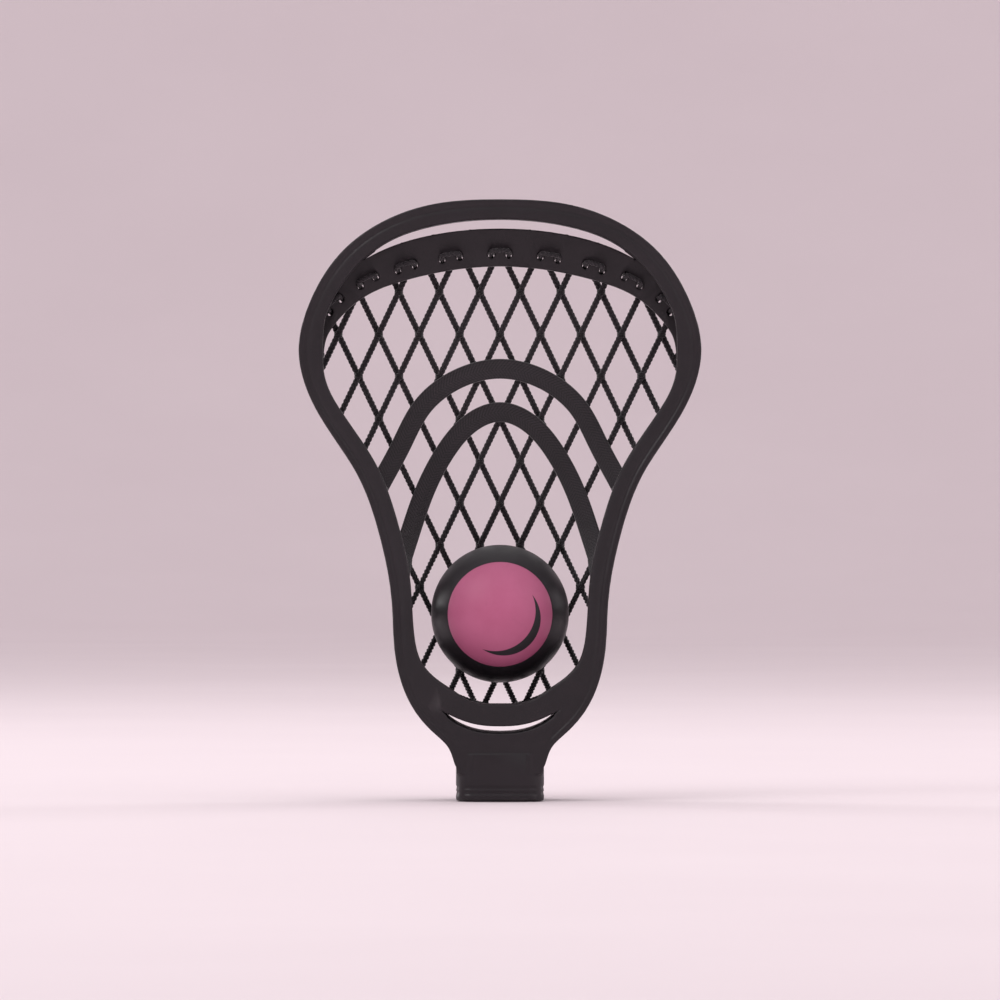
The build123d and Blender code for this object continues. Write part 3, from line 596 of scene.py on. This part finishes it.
def ball_material():
    """Rubber: a black band between two pink faces, and a black crescent of painted shade at the lower
    right of the front face.
    """
    mat, tree, bsdf = material("two_tone_rubber_painted_shade", (0.474, 0.12, 0.231), 0.5)
    at = object_coords(tree)
    part = node(tree, "ShaderNodeSeparateXYZ", {"Vector": at})
    x, y, z = (math_node(tree, "MULTIPLY", part.outputs[i], 1000.0) for i in range(3))

    def distance(cx, cz):
        dx, dz = math_node(tree, "SUBTRACT", x, cx), math_node(tree, "SUBTRACT", z, cz)
        xx, zz = math_node(tree, "POWER", dx, 2.0), math_node(tree, "POWER", dz, 2.0)
        return math_node(tree, "SQRT", math_node(tree, "ADD", xx, zz))

    def inside(value, limit):
        return spread(tree, value, 1.0, 0.0, limit - 0.08, limit + 0.08)

    wobble = math_node(tree, "MULTIPLY", noise(tree, at, 600, 2), 0.12)
    radius = math_node(tree, "ADD", distance(0.0, 0.0), wobble)
    band = math_node(tree, "SUBTRACT", 1.0, inside(radius, BALL_DISC_R))
    # Painted shade: a dark crescent at the lower right of the front face, drawn as one circle minus
    # another.
    outer, inner = inside(distance(1.6, -1.8), 17.0), inside(distance(-2.15, 1.65), 18.4)
    crescent = math_node(tree, "MULTIPLY", outer, math_node(tree, "SUBTRACT", 1.0, inner))
    front = spread(tree, y, 1.0, 0.0, -0.5, 0.5)
    crescent = math_node(tree, "MULTIPLY", crescent, front)
    # black holds the real band and the painted shade crescent together.
    black = math_node(tree, "MAXIMUM", band, crescent)
    cloud = spread(tree, noise(tree, at, 45, 5, 0.6), 0.0, 1.0)
    pink = mix(tree, cloud, (0.45, 0.108, 0.212), (0.50, 0.134, 0.25))
    scuff = spread(tree, noise(tree, at, 140, 6, 0.7), 0.0, 1.0, 0.58, 0.74)
    pink = mix(tree, math_node(tree, "MULTIPLY", scuff, 0.3), pink, (0.36, 0.11, 0.19))
    dark = mix(tree, cloud, (0.0165, 0.014, 0.0165), (0.024, 0.02, 0.024))
    dark = mix(tree, math_node(tree, "MULTIPLY", scuff, 0.3), dark, (0.06, 0.052, 0.056))
    tree.links.new(mix(tree, black, pink, dark), bsdf.inputs["Base Color"])
    rough = spread(tree, noise(tree, at, 90, 4), 0.42, 0.56)
    rough = math_node(tree, "ADD", rough, math_node(tree, "MULTIPLY", scuff, 0.15))
    tree.links.new(rough, bsdf.inputs["Roughness"])
    grain = bump(tree, noise(tree, at, 1500, 4, 0.6), 0.00004, 0.5)
    tree.links.new(bump(tree, black, 0.00015, -0.4, grain), bsdf.inputs["Normal"])
    return mat


PLASTIC = plastic_material()
STRING = cord_material("laid_cord", (0.017, 0.0145, 0.017), (0.026, 0.022, 0.026))
MESH_CORD = cord_material("plaited_cord", (0.016, 0.0135, 0.016), (0.024, 0.0205, 0.024))
LACE = lace_material()
FOAM = foam_material()
SCREW = screw_material()
BALL = ball_material()


def finish_piece(obj, mat, body, slot, *nodes):
    """Gives a piece its material and body, and hides the solids that it stands for; slot is not used.
    """
    obj.data.materials.clear()
    obj.data.materials.append(mat)
    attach(obj, body)
    if nodes:
        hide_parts(*nodes)


def applied(obj):
    """Turns the object's modifiers into its mesh."""
    bpy.context.view_layer.update()
    graph = bpy.context.evaluated_depsgraph_get()
    data = bpy.data.meshes.new_from_object(obj.evaluated_get(graph))
    obj.modifiers.clear()
    obj.data = data


# ---------------------------------------------------------------- head
def moulded(node_name, name, rounds, details=None, triangles=None):
    """A copy of a solid with its edges rounded as a mould leaves them."""
    obj = bpy.data.objects.new(name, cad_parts[node_name].data.copy())
    scene.collection.objects.link(obj)
    bm = bmesh.new()
    bm.from_mesh(obj.data)
    bmesh.ops.remove_doubles(bm, verts=bm.verts, dist=1e-6)
    bm.to_mesh(obj.data)
    bm.free()
    remesh = obj.modifiers.new("remesh", "REMESH")
    remesh.mode = "VOXEL"
    remesh.voxel_size = MOULD_VOXEL * MM
    smooth = obj.modifiers.new("smooth", "LAPLACIANSMOOTH")
    smooth.iterations = rounds
    smooth.lambda_factor = 0.35
    smooth.lambda_border = 0.0
    applied(obj)
    if details:
        details(obj)
    if triangles:
        thin = obj.modifiers.new("thin", "DECIMATE")
        thin.ratio = min(1.0, triangles / (2 * len(obj.data.polygons)))
        applied(obj)
    obj.data.polygons.foreach_set("use_smooth", [True] * len(obj.data.polygons))
    return obj


def distance_to(line, x, z):
    """Distance from front view places to a dense line."""
    out = np.empty(len(x))
    for i in range(0, len(x), 4000):
        part = slice(i, i + 4000)
        dx = x[part, None] - line[None, :, 0]
        dz = z[part, None] - line[None, :, 1]
        out[part] = np.sqrt((dx * dx + dz * dz).min(1))
    return out


def blend_throat(co):
    """Draws the walls' lower corners in to the socket block's rounded corners."""
    middle = np.array([0.0, (SOCKET_FRONT + SOCKET_BACK) / 2])
    size = np.array([SOCKET_HALF_WIDTH, (SOCKET_BACK - SOCKET_FRONT) / 2]) - SOCKET_CORNER
    flat = co[:, :2] - middle
    past = np.maximum(np.abs(flat) - size, 0.0)
    away = np.linalg.norm(past, axis=1)
    allowed = SOCKET_CORNER + np.maximum(co[:, 2] - SOCKET_BLEND_FOOT, 0.0)
    near = (co[:, 2] > 1.0) & (co[:, 2] < 40.0) & (away > allowed) & (past.min(1) > 0)
    share = 1 - allowed[near] / away[near]
    co[near, :2] -= np.sign(flat[near]) * past[near] * share[:, None]


def mould_details(obj):
    """Bead line round the rim, ribs on the ramp, a parting line and ring grooves on the socket."""
    data = obj.data
    count = len(data.vertices)
    co, no = np.empty(3 * count), np.empty(3 * count)
    data.vertices.foreach_get("co", co)
    data.vertices.foreach_get("normal", no)
    co, no = co.reshape(-1, 3) / MM, no.reshape(-1, 3)
    x, y, z = np.abs(co[:, 0]), co[:, 1], co[:, 2]
    rim = distance_to(OUTER[::3], x, z)
    opening = distance_to(np.vstack([UPPER[::4], LOWER[::4]]), x, z)
    front = smooth_step(-no[:, 1], 0.75, 0.95) * (y < front_y(z) + 2.0)
    side = smooth_step(np.hypot(no[:, 0], no[:, 2]), 0.8, 0.95)
    above = smooth_step(z, 24.0, 30.0)
    bead = BEAD_DEPTH * hill(rim, BEAD_INSET, BEAD_HALF_WIDTH) * front * above
    crown = CROWN_HEIGHT * smooth_step(rim, 4.2, 6.0) * smooth_step(opening, 0.3, 2.0) * front * above
    ramp = smooth_step(-no[:, 1], 0.5, 0.8) * (y > front_y(z) + 6.0) * (z > 206)
    angle = np.degrees(np.arctan2(x, np.maximum(z - 165.0, 1.0)))
    wave = np.maximum(0, np.cos(angle / RIB_STEP_DEG * 2 * pi)) ** 3
    ribs = RIB_HEIGHT * wave * ramp * (opening > 1.2)
    outside = np.maximum(side, front) * (z < 20) * (np.hypot(x, y) > 17)
    rings = RING_DEPTH * sum(hill(z, height, RING_HALF_WIDTH) for height in RING_HEIGHTS) * outside
    parting = hill(y, front_y(z) + SEAM_SETBACK, SEAM_HALF_WIDTH)
    seam = SEAM_HEIGHT * parting * side * (rim < 1.5) * above
    co += no * (crown + ribs + seam - bead - rings)[:, None]
    blend_throat(co)
    data.vertices.foreach_set("co", (co * MM).ravel())
    panel = front * smooth_step(rim, 3.8, 4.6) * above
    store(data, "matte", np.clip(panel + 0.9 * ramp + 0.6 * side * (rim > 1.5), 0, 1))


def drop_slivers(obj):
    """Makes triangles, and deletes those that lie twice on the same three points."""
    bm = bmesh.new()
    bm.from_mesh(obj.data)
    bmesh.ops.triangulate(bm, faces=bm.faces)
    groups = {}
    for face in bm.faces:
        key = frozenset(tuple(round(value, 7) for value in v.co) for v in face.verts)
        groups.setdefault(key, []).append(face)
    slivers = [face for group in groups.values() if len(group) > 1 for face in group]
    bmesh.ops.delete(bm, geom=slivers, context="FACES")
    bmesh.ops.remove_doubles(bm, verts=bm.verts, dist=1e-7)
    bm.to_mesh(obj.data)
    bm.free()


def open_slot_tips(obj):
    """Cuts the crescent slots out to their sharp tips, just inside their moulded walls."""
    for upper, lower in SLOTS:
        reach = upper[-1][0] + SLOT_REACH
        x = np.linspace(-reach, reach, 160)
        above, below = (
            np.interp(x, *spline([(-a, b) for a, b in line[:0:-1]] + line).T)
            for line in (upper, lower)
        )
        middle, half = (above + below) / 2, (above - below) / 2 * SLOT_SHARE
        half = np.maximum(half, 0.02)
        ring = np.r_[np.c_[x, middle + half], np.c_[x, middle - half][::-1]]
        rows = [np.c_[ring[:, 0], np.full(len(ring), y), ring[:, 1]] for y in (-60.0, 60.0)]
        mesh = Mesh()
        mesh.grid(np.array(rows))
        cutter = mesh.make("slot_cutter")
        cut = obj.modifiers.new("cut", "BOOLEAN")
        cut.operation = "DIFFERENCE"
        cut.solver = "EXACT"
        cut.object = cutter
        applied(obj)
        bpy.data.objects.remove(cutter)
    drop_slivers(obj)


head = moulded("head_frame", "moulded_head", HEAD_ROUNDS, mould_details, HEAD_TRIANGLES)
open_slot_tips(head)
finish_piece(head, PLASTIC, "head", "head_plastic", "head_frame")

pad = moulded("ball_stop_pad", "foam_strip", PAD_ROUNDS)
finish_piece(pad, FOAM, "head", "foam_pad", "ball_stop_pad")

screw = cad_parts["throat_screw"]
screw.data.materials.clear()
screw.data.materials.append(SCREW)
edges = screw.modifiers.new("edges", "BEVEL")
edges.width = SCREW_EDGE * MM
edges.segments = 2
edges.limit_method = "ANGLE"
edges.harden_normals = True


# ---------------------------------------------------------------- mesh pocket
def strand_line(foot_x, lean, forward):
    """Middle of one strand from edge string to edge string, and its surface normals."""
    z = np.arange(STRAND_LOW, STRAND_HIGH, 0.05)
    x = foot_x + lean * (z - MESH_NODE_HEIGHT)
    keep = np.abs(x) < hang_x(z) - 0.3
    x, z = x[keep], z[keep]
    fade = smooth_step(hang_x(z) - np.abs(x), 0.0, STRAND_FADE)
    p = on_pocket(x, z, forward * fade)
    p = resample(p, 0.62)
    return p, pocket_normal(p[:, 0], p[:, 2])


def edge_loop(mesh, end, inner):
    """The turn that ties a strand's end to the edge string."""
    way = unit(end - inner)
    sideways = unit(np.cross(way, BACK))
    t = np.linspace(0, 2 * pi, 26, endpoint=False)[:, None]
    ring = end + way * 0.2 + (way * np.cos(t) + BACK * np.sin(t)) * EDGE_LOOP_R
    tube(mesh, ring + sideways * 0.5 * np.sin(t / 2), EDGE_LOOP_CORD_R, closed=True)


def wrap(mesh, x, z):
    """The turns of fine cord that hold a crossing of two strands."""
    normal = pocket_normal(np.array([x]), np.array([z]))[0]
    across = unit(np.array([1, 0, 0]) - normal * normal[0])
    up = np.cross(across, normal)
    up = up if up[2] > 0 else -up
    t = np.linspace(0, 2 * pi * WRAP_TURNS, 50)[:, None]
    wide, deep, tall = WRAP_SIZE
    turn = across * np.cos(t) * wide + normal * np.sin(t) * deep
    rise = up * (t / (2 * pi * WRAP_TURNS) - 0.5) * tall
    tube(mesh, on_pocket(x, z) + turn + rise, WRAP_CORD_R)


def diamond_mesh():
    """Plaited strands that lean both ways, tied at their ends and crossings."""
    cords, loops, wraps = Mesh(), Mesh(), Mesh()
    for side in (1, -1):
        lean = side * DIAMOND_WIDTH / DIAMOND_HEIGHT
        for k in range(-STRANDS_INWARD, STRANDS_OUTWARD + 1):
            line, normal = strand_line(side * DIAMOND_WIDTH * k, lean, side * LAYER_OFFSET)
            plaited(cords, line, normal)
            edge_loop(loops, line[0], line[3])
            edge_loop(loops, line[-1], line[-4])
    for i in range(-2 * STRANDS_OUTWARD, 2 * STRANDS_OUTWARD + 1):
        for j in range(-12, 4):
            x, z = DIAMOND_WIDTH * i / 2, MESH_NODE_HEIGHT + DIAMOND_HEIGHT * j / 2
            crossing = (i + j) % 2 == 0 and WRAP_LOW < z < WRAP_HIGH
            if crossing and abs(x) <= opening_x(z) - WRAP_EDGE_MARGIN:
                wrap(wraps, x, z)
    finish_piece(cords.make("plaited_mesh"), MESH_CORD, "head", "mesh_cord", "pocket_mesh")
    finish_piece(loops.make("mesh_edge_loops"), MESH_CORD, "head", "mesh_cord")
    finish_piece(wraps.make("mesh_knots"), MESH_CORD, "head", "mesh_cord")


diamond_mesh()


# ---------------------------------------------------------------- strings
def hang_line(line, start, stop):
    """The part of a mesh edge between two indices, in three dimensions."""
    part = line[min(start, stop) : max(start, stop) + 1]
    return np.stack([part[:, 0], hang_y(part[:, 1]), part[:, 1]], 1)


def loop_depth(place, normal, reach):
    """Distance back from a place on the mesh's edge to a cord that lies on the back rail."""
    back = max(back_y(place[2]), back_y(place[2] + normal[2] * reach))
    return back - place[1] + STRING_R + STRING_GAP


def loop(mesh, corner, along, across, width, height):
    """A loop of cord round a rail, closed on itself."""
    c = [corner, corner + along * width, corner + along * width + across * height,
         corner + across * height]
    start = (c[0] + c[3]) / 2
    twisted(mesh, rounded([start, c[0], c[1], c[2], c[3], start]), STRING_R * 0.94)


def tied_end(mesh, place, along, length):
    """A stopper knot and the loose end below it."""
    overhand(mesh, place, along)
    loose_end(mesh, place, length)


def side_string(name, flip):
    """Cord down one side, with its loops round the back rail and its tied ends."""
    mesh = Mesh()
    low, high = (spot(HANG_LOWER, lambda p, z=z: p[:, 1] - z) for z in SIDE_STRING_ENDS)
    turn = mirrored if flip else np.asarray
    twisted(mesh, turn(hang_line(HANG_LOWER, low, high)))
    for z in SIDE_LOOP_HEIGHTS:
        place, _, normal = hang_frame(HANG_LOWER, spot(HANG_LOWER, lambda p: p[:, 1] - z))
        reach = rail_thickness(place, normal) + STRING_R + STRING_GAP
        depth = loop_depth(place, normal, reach)
        loop(mesh, turn(place), turn(normal), BACK, reach, depth)
        if z in (SIDE_LOOP_HEIGHTS[0], SIDE_LOOP_HEIGHTS[-1]):
            knot = place + normal * (reach / 2) + BACK * (depth + KNOT_SETBACK)
            tied_end(mesh, turn(knot), turn(normal), SIDE_END_LENGTH)
    return mesh.make(name)


def throat_string():
    """Cord across the throat, with its loops through the throat's holes."""
    mesh = Mesh()
    index = spot(HANG_LOWER, lambda p: p[:, 1] - BOTTOM_STRING_END)
    half = hang_line(HANG_LOWER, index, len(HANG_LOWER) - 1)
    twisted(mesh, np.vstack([half, mirrored(half[::-1])[1:]]))
    for x in BOTTOM_LOOP_SPOTS:
        index = spot(HANG_LOWER, lambda p: (p[:, 0] - x) + 1e3 * (p[:, 1] > 70))
        place, _, normal = hang_frame(HANG_LOWER, index)
        depth = loop_depth(place, normal, BOTTOM_LOOP_REACH)
        loop(mesh, place, normal, BACK, BOTTOM_LOOP_REACH, depth)
        loop(mesh, mirrored(place), mirrored(normal), BACK, BOTTOM_LOOP_REACH, depth)
    return mesh.make("throat_string")


def scoop_string():
    """Cord along the ramp, with its stitches through the ramp and its tied ends."""
    mesh = Mesh()
    index = spot(HANG_UPPER, lambda p: p[:, 1] - TOP_STRING_END)
    half = hang_line(HANG_UPPER, 0, index)
    twisted(mesh, np.vstack([mirrored(half[::-1]), half[1:]]))
    for x in TOP_STITCH_SPOTS:
        place, along, normal = hang_frame(HANG_UPPER, spot(HANG_UPPER, lambda p: p[:, 0] - x))
        near = place + BACK * TOP_STITCH_SETBACK - along * (TOP_STITCH_WIDTH / 2)
        far = place + normal * TOP_STITCH_REACH
        front = back_y(far[2]) - RAMP_THICKNESS - STRING_R - 2 * STRING_GAP - TOP_LOOP_PROUD
        through = np.array([far[0], front, far[2]]) - place - BACK * TOP_STITCH_SETBACK
        size = (TOP_STITCH_WIDTH, np.linalg.norm(through))
        loop(mesh, near, along, unit(through), *size)
        if x > 0:
            loop(mesh, mirrored(near), mirrored(along), mirrored(unit(through)), *size)
    for end in (half[-1], mirrored(half[-1])):
        tied_end(mesh, end + BACK * KNOT_SETBACK, [0, 0, 1], TOP_END_LENGTH)
    return mesh.make("scoop_string")


for name, flip in (("right", False), ("left", True)):
    cord = side_string(f"side_string_{name}", flip)
    finish_piece(cord, STRING, "head", "string_cord", f"sidewall_string_{name}")
finish_piece(throat_string(), STRING, "head", "string_cord", "bottom_string")
finish_piece(scoop_string(), STRING, "head", "string_cord", "top_string")


# ---------------------------------------------------------------- shooting strings
def lace_edges(points):
    """Both edges of a lace at its full width, from its left end to its right end."""
    last = np.subtract(points[-1], points[-2])
    half = resample(spline(points, (1, 0), last), 0.35)
    inner, outer = (half + outward(half) * s * LACE_WIDTH / 2 for s in (-1, 1))
    outer[:, 0] = np.minimum(outer[:, 0], hang_x(outer[:, 1]) - LACE_EDGE_MARGIN)
    edges = []
    for edge in (inner, outer):
        left, right = (on_pocket(side * edge[:, 0], edge[:, 1], LACE_OFFSET) for side in (-1, 1))
        edges.append(np.vstack([left[::-1], right[1:]]))
    return edges


def gathered(a, b, face, entry):
    """The same edges and normals with both ends drawn in to a cord's width, and the thickening."""
    gather = np.linspace(0, 1, 40)[1:, None]
    narrow = smooth_step(gather, 0, 1)
    thick = np.r_[1 + narrow[::-1, 0], np.ones(len(a)), 1 + narrow[:, 0]]
    ends = []
    for end, target in ((0, mirrored(entry)), (-1, entry)):
        middle, step = (a[end] + b[end]) / 2, (b[end] - a[end]) / 2
        line = middle + (target - middle) * gather
        gap = step + (unit(step) * STRING_R - step) * narrow
        rows = [line - gap, line + gap, np.repeat(face[end][None], len(line), 0)]
        ends.append(rows if end else [row[::-1] for row in rows])
    whole = zip(ends[0], (a, b, face), ends[1])
    return [np.vstack(parts) for parts in whole] + [thick]


def woven(mesh, a, b, face, thick):
    """A flat band between two edges, with a chevron weave and a hem along each side."""
    middle, across = (a + b) / 2, b - a
    half_width = np.linalg.norm(across, axis=1)[:, None] / 2
    w = np.linspace(-1, 1, 27)[None]
    bulge = np.sqrt(np.maximum(0, 1 - np.abs(w) ** 6)) * LACE_THICKNESS / 2
    rib = np.abs(np.sin(pi * (length_along(middle)[:, None] / LACE_RIB - np.abs(w) * 2.4))) ** 0.7
    wale = np.abs(np.sin(pi * (w * half_width / LACE_WALE + 0.5))) ** 0.6
    relief = 0.15 * rib * (0.55 + 0.45 * wale) * (1 - np.abs(w) ** 8)
    hem = 0.12 * hill(np.abs(w), 0.93, 0.06) * (1 - np.abs(w) ** 30)
    rise = face[:, None] * ((bulge * 0.78 + relief + hem) * thick[:, None])[..., None]
    flat = middle[:, None] + across[:, None] * (w[..., None] / 2)
    rows = np.concatenate([flat + rise, (flat - rise)[:, -2:0:-1]], axis=1)
    shade = rib * (0.4 + 0.6 * wale)
    mesh.grid(rows, crest=np.concatenate([shade, shade[:, -2:0:-1]], axis=1))


def lace(name, points, tail_height, node_name):
    """Flat woven lace whose gathered ends turn round the back rail to their knots."""
    place, _, normal = hang_frame(HANG_LOWER, spot(HANG_LOWER, lambda p: p[:, 1] - tail_height))
    reach = rail_thickness(place, normal) + STRING_R + STRING_GAP
    fore = STRING_DEPTH - WINDOW_SETBACK - STRING_R - STRING_GAP
    aft = loop_depth(place, normal, reach)
    entry = place + BACK * fore
    a, b = lace_edges(points)
    middle = (a + b) / 2
    a, b, face, thick = gathered(a, b, pocket_normal(middle[:, 0], middle[:, 2]), entry)
    mesh = Mesh()
    woven(mesh, a, b, face, thick)
    corners = [(a[-8] + b[-8]) / 2, entry]
    corners += [place + normal * reach + BACK * depth for depth in (fore, aft)]
    corners.append(place + normal * reach / 2 + BACK * aft)
    line = rounded(corners, LACE_BEND)
    knot = corners[-1] + BACK * KNOT_SETBACK
    for side in (np.asarray, mirrored):
        twisted(mesh, side(line))
    for side in (np.asarray, mirrored):
        tied_end(mesh, side(knot), side(normal), LACE_END_LENGTH)
    finish_piece(mesh.make(name), LACE, "head", "lace_cloth", node_name)


lace("upper_lace", UPPER_LACE, UPPER_TAIL_HEIGHT, "upper_shooting_string")
lace("lower_lace", LOWER_LACE, LOWER_TAIL_HEIGHT, "lower_shooting_string")


# ---------------------------------------------------------------- ball
def rubber_ball():
    """Sphere with a groove round each pink face and a moulding seam round its middle."""
    low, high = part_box("ball")
    radius = (high.x - low.x) / 2 / MM
    polar = np.linspace(0.004, pi - 0.004, 180)[:, None]
    turn = np.arange(240) * 2 * pi / 240
    groove = DISC_GROOVE * hill(np.sin(polar) * radius, BALL_DISC_R, 0.32)
    seam = BALL_SEAM * hill(polar * radius, pi / 2 * radius, 0.3)
    r = radius - BALL_SETBACK - groove + seam
    along = -r * np.cos(polar) * np.ones_like(turn)
    rows = [r * np.sin(polar) * np.cos(turn), along, r * np.sin(polar) * np.sin(turn)]
    mesh = Mesh()
    mesh.grid(np.stack(rows, -1))
    ball = mesh.make("rubber_ball")
    ball.location = (low + high) / 2
    finish_piece(ball, BALL, "ball", "ball_rubber", "ball")


rubber_ball()


# ---------------------------------------------------------------- floor, light and camera
FLOOR_R, COVE_R, COVE_SIDES, FLOOR_GAP = 4.5, 3.5, 96, 0.0006


def cove():
    """Pale floor that curves up into a wall all round."""
    bend = np.linspace(0, pi / 2, 25)
    radii = np.r_[0.5, 2.0, FLOOR_R + COVE_R * np.sin(bend)][:, None]
    heights = np.r_[0.0, 0.0, COVE_R * (1 - np.cos(bend))][:, None]
    a = np.arange(COVE_SIDES) * 2 * pi / COVE_SIDES
    rows = np.stack([radii * np.cos(a), radii * np.sin(a), heights * np.ones_like(a)], -1)
    mesh = Mesh()
    mesh.grid(rows / MM, caps=False)
    mesh.faces.append(tuple(range(COVE_SIDES)))
    obj = mesh.make("floor")
    mat, tree, bsdf = material("studio_paint", (0.80, 0.70, 0.735), 0.75)
    tone = spread(tree, noise(tree, object_coords(tree), 3.0, 3), 0.0, 1.0)
    colour = mix(tree, tone, (0.79, 0.69, 0.725), (0.81, 0.71, 0.745))
    tree.links.new(colour, bsdf.inputs["Base Color"])
    obj.data.materials.append(mat)
    obj.location.z = cad_box[0][2] - FLOOR_GAP


cove()

LIGHT_TARGET = (0, 0, 0.14)


def area_light(name, place, size, power):
    """A soft light that looks at the middle of the object."""
    data = bpy.data.lights.new(name, "AREA")
    data.shape = "RECTANGLE"
    data.size, data.size_y = size
    data.energy = power
    obj = bpy.data.objects.new(name, data)
    obj.location = place
    way = Vector(LIGHT_TARGET) - Vector(place)
    obj.rotation_euler = way.to_track_quat("-Z", "Y").to_euler()
    scene.collection.objects.link(obj)


area_light("key", (-1.7, -1.5, 1.9), (1.2, 1.2), 20)
area_light("fill", (2.2, -1.2, 0.9), (1.2, 1.6), 7)
area_light("top", (0.0, 0.5, 2.6), (2.0, 2.0), 11)
area_light("rim_left", (-1.7, 1.2, 0.8), (0.5, 1.4), 12)
area_light("rim_right", (1.7, 1.2, 1.0), (0.5, 1.4), 9)

world = bpy.data.worlds.new("studio")
scene.world = world
world.use_nodes = True
background = world.node_tree.nodes["Background"]
background.inputs["Color"].default_value = (1.0, 0.95, 0.97, 1)
background.inputs["Strength"].default_value = 0.8

# The picture is FRAME_WIDTH across at the plane y = FRAME_PLANE, both in metres.
FRAME_WIDTH, FRAME_PLANE = 0.45683, -0.010
LENS, SENSOR = 300, 36
camera = bpy.data.objects.new("camera", bpy.data.cameras.new("camera"))
camera.data.lens, camera.data.sensor_width = LENS, SENSOR
camera.data.clip_end = 50
middle_z = (cad_box[0][2] + cad_box[1][2]) / 2
camera.location = (0, FRAME_PLANE - FRAME_WIDTH * LENS / SENSOR, middle_z)
camera.rotation_euler = (pi / 2, 0, 0)
scene.collection.objects.link(camera)
scene.camera = camera
scene.view_settings.view_transform = "Standard"
